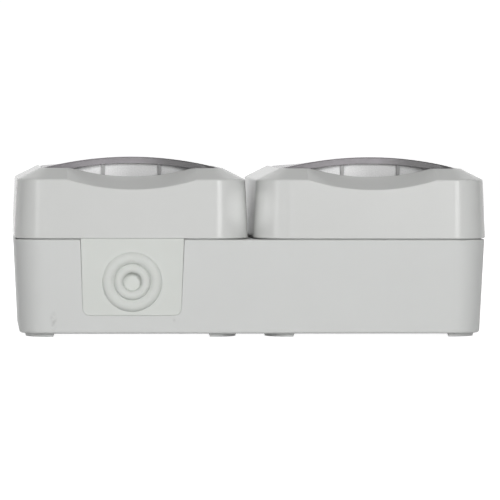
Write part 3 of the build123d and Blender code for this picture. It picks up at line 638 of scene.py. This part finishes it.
# %% Skin helper
body_of_node = {
    node: body for body, nodes in frame["record"]["behaviour"]["bodies"].items() for node in nodes
}
slot_of_node = {part["node"]: part["material_slot"] for part in frame["record"]["subparts"]}
sharp_angle = math.radians(11.0)
level_angle = math.radians(0.05)
merge_distance = 0.000002
area_weight = 90


def place_on_body(piece, node):
    """Let a piece stand for a CAD node: ride on its body, with the node hidden."""
    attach(piece, body_of_node[node])
    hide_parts(node)


def smooth_skin(node, *finishes):
    """Merged, smoothly shaded copy of a CAD node with its finishes."""
    mesh = frame["nodes"][node].data.copy()
    mesh.name = node + "_skin"
    points = bmesh.new()
    points.from_mesh(mesh)
    bmesh.ops.remove_doubles(points, verts=points.verts, dist=merge_distance)
    bmesh.ops.dissolve_limit(points, angle_limit=level_angle, verts=[], edges=points.edges)
    points.to_mesh(mesh)
    points.free()
    mesh.polygons.foreach_set("use_smooth", [True] * len(mesh.polygons))
    mesh.set_sharp_from_angle(angle=sharp_angle)
    mesh.materials.clear()
    for finish in finishes:
        mesh.materials.append(finish)
    mesh.polygons.foreach_set("material_index", [0] * len(mesh.polygons))
    skin = bpy.data.objects.new(node + "_skin", mesh)
    scene.collection.objects.link(skin)
    weighting = skin.modifiers.new("even_normals", "WEIGHTED_NORMAL")
    weighting.keep_sharp = True
    weighting.weight = area_weight
    return skin


finish_of_slot = {
    "base_plastic": base_plastic,
    "cover_plastic": cover_plastic,
    "entry_rubber": entry_rubber,
    "seal_rubber": seal_rubber,
    "well_plastic": well_plastic,
    "carrier_plastic": carrier_plastic,
    "brass": brass,
    "steel": steel,
}
print("slots", sorted(finish_of_slot))

# %% [markdown]
# ## Box, covers and the pieces inside
#
# These pieces have one finish each, so one loop makes all their skins. The lids, springs and
# screws are left for later, because they need more than that. The entry plate is soft and fills
# its opening, where the solid has a little clearance for moulding. Its front is therefore spread
# by about a tenth of a millimetre: down, up to the cover that presses on it, and to both sides,
# where the spread starts from nothing at the top corners.

# %% Plain skins
made_later = {
    "left_lid", "right_lid", "left_lid_spring", "right_lid_spring",
    "well_screws", "carrier_screws", "terminal_screws",
}
plain_nodes = sorted(set(frame["nodes"]) - made_later)
for node in plain_nodes:
    skin = smooth_skin(node, finish_of_slot[slot_of_node[node]])
    place_on_body(skin, node)
print("plain skins", len(plain_nodes))

# %% Spread the entry plate
plate_top_z = 0.0287
plate_front_y = -0.03435
plate_lean = math.tan(math.radians(2.9))
plate_depth = 0.0018
cover_low_z = 0.02905
spread_along = 1.0065
spread_down = 1.0043
spread_up = 1.32
entry_skin = bpy.data.objects["entry_grommet_skin"]
spread_count = 0
for point in entry_skin.data.vertices:
    behind = point.co.y - (plate_front_y + (plate_top_z - point.co.z) * plate_lean)
    if behind > plate_depth or point.co.z > cover_low_z:
        continue
    if point.co.z < plate_top_z:
        point.co.x = gang_centres["left"] + (point.co.x - gang_centres["left"]) * spread_along
    rise = spread_down if point.co.z < plate_top_z else spread_up
    point.co.z = plate_top_z + (point.co.z - plate_top_z) * rise
    spread_count += 1
print("spread", spread_count, "points of the entry plate")

# %% [markdown]
# ## Lids
#
# Smoky plate, frosted skirt and two darker bars are one moulding, so they are one mesh with three
# finishes. Which finish an upright face takes follows from where it is: below the plate and
# outside the ring that holds the seal it is skirt, and on one of the two bar lines it is bar.

# %% Lid skins
plate_under = 0.0472
skirt_rear = 0.0155
skirt_front = -0.0246
seal_ring_radius = 0.0229
upright_limit = 0.5
bar_offset = 0.0083
bar_half = 0.00055
bar_proud = 0.0001
smoke_index, frost_index, bar_index = 0, 1, 2


def lid_face_index(face, mesh, centre):
    """Which of the three lid finishes an upright face of a lid takes."""
    off_centre = face.center.x - centre
    if min(mesh.vertices[v].co.z for v in face.vertices) >= plate_under:
        return smoke_index
    on_bar_line = abs(abs(off_centre) - bar_offset) < bar_half
    if on_bar_line and face.center.y < skirt_front - bar_proud:
        return bar_index
    on_ring = math.hypot(off_centre, face.center.y) < seal_ring_radius
    return smoke_index if on_ring else frost_index


for side, centre in gang_centres.items():
    node = side + "_lid"
    skin = smooth_skin(node, lid_smoke, lid_frost, lid_bar_smoke)
    frosted_faces = 0
    for face in skin.data.polygons:
        if face.center.y < skirt_rear and abs(face.normal.z) < upright_limit:
            face.material_index = lid_face_index(face, skin.data, centre)
            face.use_smooth = face.material_index == smoke_index
            frosted_faces += face.material_index == frost_index
    place_on_body(skin, node)
    print(node, "frosted faces", frosted_faces)

# %% [markdown]
# ## Torsion springs with Geometry Nodes
#
# A lid spring is round wire wound on the hinge pin, with one leg on the deck and one under the
# lid. The wire follows a path, so the path is laid as a curve and a node tree sweeps a round
# section along it. The coil would have to twist when the lid opens, but here the wire is one
# fixed mesh that follows neither the box nor the lid.

# %% Wire sweep tree
def wire_tree():
    """Geometry Nodes tree that sweeps a round section along a curve."""
    tree = bpy.data.node_groups.new("sweep_wire", "GeometryNodeTree")
    tree.interface.new_socket("Path", in_out="INPUT", socket_type="NodeSocketGeometry")
    tree.interface.new_socket("Wire Radius", in_out="INPUT", socket_type="NodeSocketFloat")
    tree.interface.new_socket("Sides", in_out="INPUT", socket_type="NodeSocketInt")
    tree.interface.new_socket("Finish", in_out="INPUT", socket_type="NodeSocketMaterial")
    tree.interface.new_socket("Wire", in_out="OUTPUT", socket_type="NodeSocketGeometry")
    entry = tree.nodes.new("NodeGroupInput")
    section = tree.nodes.new("GeometryNodeCurvePrimitiveCircle")
    sweep = tree.nodes.new("GeometryNodeCurveToMesh")
    sweep.inputs["Fill Caps"].default_value = True
    smooth = tree.nodes.new("GeometryNodeSetShadeSmooth")
    real = tree.nodes.new("GeometryNodeRealizeInstances")
    paint = tree.nodes.new("GeometryNodeSetMaterial")
    leave = tree.nodes.new("NodeGroupOutput")
    join(tree, entry, "Path", sweep, "Curve")
    join(tree, entry, "Wire Radius", section, "Radius")
    join(tree, entry, "Sides", section, "Resolution")
    join(tree, section, "Curve", sweep, "Profile Curve")
    join(tree, sweep, "Mesh", smooth, "Geometry")
    join(tree, smooth, "Geometry", real, "Geometry")
    join(tree, real, "Geometry", paint, "Geometry")
    join(tree, entry, "Finish", paint, "Material")
    join(tree, paint, "Geometry", leave, "Wire")
    return tree


sweep_wire = wire_tree()
print("tree", sweep_wire.name)

# %% Node tree helpers
def set_input(modifier, name, value):
    """Set a named input of a Geometry Nodes modifier by its socket's identifier."""
    for item in modifier.node_group.interface.items_tree:
        if item.item_type == "SOCKET" and item.in_out == "INPUT" and item.name == name:
            modifier[item.identifier] = value


def bake_modifiers(source, name):
    """Evaluate an object's modifiers to a plain mesh object and remove the source."""
    bpy.context.view_layer.update()
    evaluated = source.evaluated_get(bpy.context.evaluated_depsgraph_get())
    mesh = bpy.data.meshes.new_from_object(evaluated)
    mesh.name = name
    bpy.data.objects.remove(source)
    piece = bpy.data.objects.new(name, mesh)
    scene.collection.objects.link(piece)
    return piece


print("sockets", [item.name for item in sweep_wire.interface.items_tree])

# %% Path of a spring
hinge_y = 0.0256
hinge_z = 0.04725
wire_radius = 0.00035
coil_radius = 0.0015
coil_pitch = 0.00085
coil_start = math.radians(30.0)
coil_sweep = math.radians(3 * 360.0 + 78.0)
deck_leg = 0.0039
lid_leg = 0.0022
points_per_turn = 32
small_turn = 0.001
half_length = coil_pitch * coil_sweep / math.tau / 2


def coil_point(centre, angle):
    """Point of the coil at an angle, wound along X on the hinge axis."""
    along = coil_pitch * (angle - coil_start) / math.tau - half_length
    y = hinge_y + coil_radius * math.cos(angle)
    z = hinge_z + coil_radius * math.sin(angle)
    return Vector((centre + along, y, z))


def spring_path(centre):
    """Points along the wire: the leg on the deck, the coil and the leg under the lid."""
    steps = int(points_per_turn * coil_sweep / math.tau)
    coil = [coil_point(centre, coil_start + coil_sweep * k / steps) for k in range(steps + 1)]
    first_way = coil_point(centre, coil_start + small_turn) - coil[0]
    last_way = coil[-1] - coil_point(centre, coil_start + coil_sweep - small_turn)
    deck_end = coil[0] - first_way.normalized() * deck_leg
    lid_end = coil[-1] + last_way.normalized() * lid_leg
    return [deck_end] + coil + [lid_end]


print("coil length", round(2 * half_length, 5), "m")

# %% Lid springs
wire_sides = 12
for side, centre in gang_centres.items():
    path = spring_path(centre)
    curve = bpy.data.curves.new(side + "_spring_path", "CURVE")
    curve.dimensions = "3D"
    spline = curve.splines.new("POLY")
    spline.points.add(len(path) - 1)
    for point, place in zip(spline.points, path):
        point.co = (*place, 1.0)
    wire = bpy.data.objects.new(side + "_spring_path", curve)
    scene.collection.objects.link(wire)
    nodes = wire.modifiers.new("sweep", "NODES")
    nodes.node_group = sweep_wire
    set_input(nodes, "Wire Radius", wire_radius)
    set_input(nodes, "Sides", wire_sides)
    set_input(nodes, "Finish", steel)
    spring = bake_modifiers(wire, side + "_spring_wire")
    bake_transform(spring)
    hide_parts(side + "_lid_spring")
    print(spring.name, len(spring.data.polygons), "faces")

# %% [markdown]
# ## Screws with Geometry Nodes
#
# The same slotted screw is used many times: one in each well, two in each carrier, and one on each
# terminal. One screw of each size is turned from a profile with a domed head, a slot and a ringed
# shank. A node tree then sets a copy on every seat, turned the way its head faces.

# %% Profile of a screw
dome_share = 0.35
dome_steps = 6
head_rounding = 0.0002
head_break = 0.0001
plain_neck = 0.0008
thread_pitch = 0.0007
thread_depth = 0.00022
tip_length = 0.0005


def screw_profile(shank_radius, shank_length, head_radius, head_height):
    """Half outline of a screw as (radius, height) pairs, from the top of its head to its tip."""
    root = shank_radius - thread_depth
    dome = dome_share * head_height
    profile = [(0.0, head_height)]
    for step in range(1, dome_steps + 1):
        share = step / dome_steps
        drop = dome * share * share * 0.5
        profile.append((share * (head_radius - head_rounding), head_height - drop))
    profile += [(head_radius, head_height - dome), (head_radius, head_break)]
    profile += [(head_radius - head_break, 0.0), (shank_radius, 0.0), (shank_radius, -plain_neck)]
    depth = plain_neck
    while depth + thread_pitch < shank_length - shank_radius:
        for radius, share in ((root, 0.3), (root, 0.5), (shank_radius, 0.9)):
            profile.append((radius, -depth - share * thread_pitch))
        depth += thread_pitch
    profile += [(root, -shank_length + tip_length), (0.0, -shank_length)]
    return profile


print("thread pitch", thread_pitch, "m")

# %% One turned screw
turning_steps = 20
seam_merge = 0.000001
slot_width = 0.0008
slot_depth = 0.0008
screw_sharp_angle = math.radians(35.0)


def linked_piece(name, points):
    """Object in the scene from a bmesh, which is freed."""
    mesh = bpy.data.meshes.new(name)
    points.to_mesh(mesh)
    points.free()
    piece = bpy.data.objects.new(name, mesh)
    scene.collection.objects.link(piece)
    return piece


def turned_blank(name, profile):
    """Solid turned from a profile about the Z axis."""
    turned = bmesh.new()
    line = [turned.verts.new((radius, 0.0, height)) for radius, height in profile]
    edges = [turned.edges.new(pair) for pair in zip(line, line[1:])]
    bmesh.ops.spin(
        turned, geom=line + edges, axis=(0, 0, 1), cent=(0, 0, 0), angle=math.tau,
        steps=turning_steps, use_merge=True,
    )
    bmesh.ops.remove_doubles(turned, verts=turned.verts, dist=seam_merge)
    bmesh.ops.recalc_face_normals(turned, faces=turned.faces)
    return linked_piece(name, turned)


def slot_blade(name, head_radius, head_height):
    """Block that cuts the slot: as wide as the slot and centred on the top of the head."""
    block = bmesh.new()
    bmesh.ops.create_cube(block, size=1.0)
    bmesh.ops.scale(block, vec=(3 * head_radius, slot_width, 2 * slot_depth), verts=block.verts)
    bmesh.ops.translate(block, vec=(0, 0, head_height), verts=block.verts)
    return linked_piece(name, block)


def turned_screw(name, shank_radius, shank_length, head_radius, head_height):
    """Slotted screw whose head stands on the plane z = 0 and whose shank goes down from it."""
    screw = turned_blank(name, screw_profile(shank_radius, shank_length, head_radius, head_height))
    blade = slot_blade(name + "_slot", head_radius, head_height)
    cut = screw.modifiers.new("slot", "BOOLEAN")
    cut.object = blade
    cut.operation = "DIFFERENCE"
    cut.solver = "EXACT"
    slotted = bake_modifiers(screw, name + "_slotted")
    bpy.data.objects.remove(blade)
    slotted.data.polygons.foreach_set("use_smooth", [True] * len(slotted.data.polygons))
    slotted.data.set_sharp_from_angle(angle=screw_sharp_angle)
    return slotted


print("slot", slot_width, "m wide and", slot_depth, "m deep")

# %% Screw setting tree
def screw_tree():
    """Geometry Nodes tree that sets a copy of a screw on each point, turned to its facing."""
    tree = bpy.data.node_groups.new("set_screws", "GeometryNodeTree")
    tree.interface.new_socket("Seats", in_out="INPUT", socket_type="NodeSocketGeometry")
    tree.interface.new_socket("Screw", in_out="INPUT", socket_type="NodeSocketObject")
    tree.interface.new_socket("Finish", in_out="INPUT", socket_type="NodeSocketMaterial")
    tree.interface.new_socket("Slot Turn Seed", in_out="INPUT", socket_type="NodeSocketInt")
    tree.interface.new_socket("Screws", in_out="OUTPUT", socket_type="NodeSocketGeometry")
    entry = tree.nodes.new("NodeGroupInput")
    screw = tree.nodes.new("GeometryNodeObjectInfo")
    facing = tree.nodes.new("GeometryNodeInputNamedAttribute")
    facing.data_type = "FLOAT_VECTOR"
    facing.inputs["Name"].default_value = "facing"
    aim = tree.nodes.new("FunctionNodeAlignRotationToVector")
    aim.axis = "Z"
    chance = tree.nodes.new("FunctionNodeRandomValue")
    chance.data_type = "FLOAT"
    chance.inputs["Max"].default_value = math.pi
    spun = tree.nodes.new("ShaderNodeCombineXYZ")
    as_turn = tree.nodes.new("FunctionNodeEulerToRotation")
    both = tree.nodes.new("FunctionNodeRotateRotation")
    both.rotation_space = "LOCAL"
    copies = tree.nodes.new("GeometryNodeInstanceOnPoints")
    real = tree.nodes.new("GeometryNodeRealizeInstances")
    paint = tree.nodes.new("GeometryNodeSetMaterial")
    leave = tree.nodes.new("NodeGroupOutput")
    join(tree, entry, "Seats", copies, "Points")
    join(tree, entry, "Screw", screw, "Object")
    join(tree, screw, "Geometry", copies, "Instance")
    join(tree, facing, "Attribute", aim, "Vector")
    join(tree, entry, "Slot Turn Seed", chance, "Seed")
    join(tree, chance, 1, spun, "Z")
    join(tree, spun, "Vector", as_turn, "Euler")
    join(tree, aim, "Rotation", both, "Rotation")
    join(tree, as_turn, "Rotation", both, "Rotate By")
    join(tree, both, "Rotation", copies, "Rotation")
    join(tree, copies, "Instances", real, "Geometry")
    join(tree, real, "Geometry", paint, "Geometry")
    join(tree, entry, "Finish", paint, "Material")
    join(tree, paint, "Geometry", leave, "Screws")
    return tree


set_screws = screw_tree()
print("tree", set_screws.name)

# %% Seats of the screws
up = (0.0, 0.0, 1.0)
front = (0.0, -1.0, 0.0)
well_z = 0.0277
carrier_x, carrier_y, carrier_z = 0.016, 0.0127, 0.0103
pole_x, pole_z = 0.0176, 0.0181
earth_x, earth_y, earth_z = 0.006, -0.0193, 0.0206

screw_seats = {"well_screws": [], "carrier_screws": [], "terminal_screws": []}
for centre in gang_centres.values():
    screw_seats["well_screws"].append(((centre, 0.0, well_z), up))
    for sign in (-1, 1):
        carrier_place = (centre + sign * carrier_x, sign * carrier_y, carrier_z)
        screw_seats["carrier_screws"].append((carrier_place, up))
        screw_seats["terminal_screws"].append(((centre + sign * pole_x, 0.0, pole_z), up))
    screw_seats["terminal_screws"].append(((centre + earth_x, earth_y, earth_z), front))
print("seats", {node: len(seats) for node, seats in screw_seats.items()})

# %% Set the screws on their seats
screw_sizes = {
    "well_screws": dict(
        shank_radius=0.0015, shank_length=0.013, head_radius=0.0029, head_height=0.0018
    ),
    "carrier_screws": dict(
        shank_radius=0.00145, shank_length=0.0068, head_radius=0.0028, head_height=0.0019
    ),
    "terminal_screws": dict(
        shank_radius=0.0015, shank_length=0.005, head_radius=0.0026, head_height=0.0018
    ),
}
first_seed = 3
for seed, (node, seats) in enumerate(screw_seats.items(), first_seed):
    template = turned_screw(node + "_one", **screw_sizes[node])
    seat_mesh = bpy.data.meshes.new(node + "_seats")
    seat_mesh.from_pydata([place for place, way in seats], [], [])
    facing = seat_mesh.attributes.new("facing", "FLOAT_VECTOR", "POINT")
    facing.data.foreach_set("vector", [value for place, way in seats for value in way])
    holder = bpy.data.objects.new(node + "_seats", seat_mesh)
    scene.collection.objects.link(holder)
    nodes = holder.modifiers.new("screws", "NODES")
    nodes.node_group = set_screws
    set_input(nodes, "Screw", template)
    set_input(nodes, "Finish", steel)
    set_input(nodes, "Slot Turn Seed", seed)
    screws = bake_modifiers(holder, node + "_set")
    bpy.data.objects.remove(template)
    place_on_body(screws, node)
    print(node, len(seats), "seats", len(screws.data.polygons), "faces")
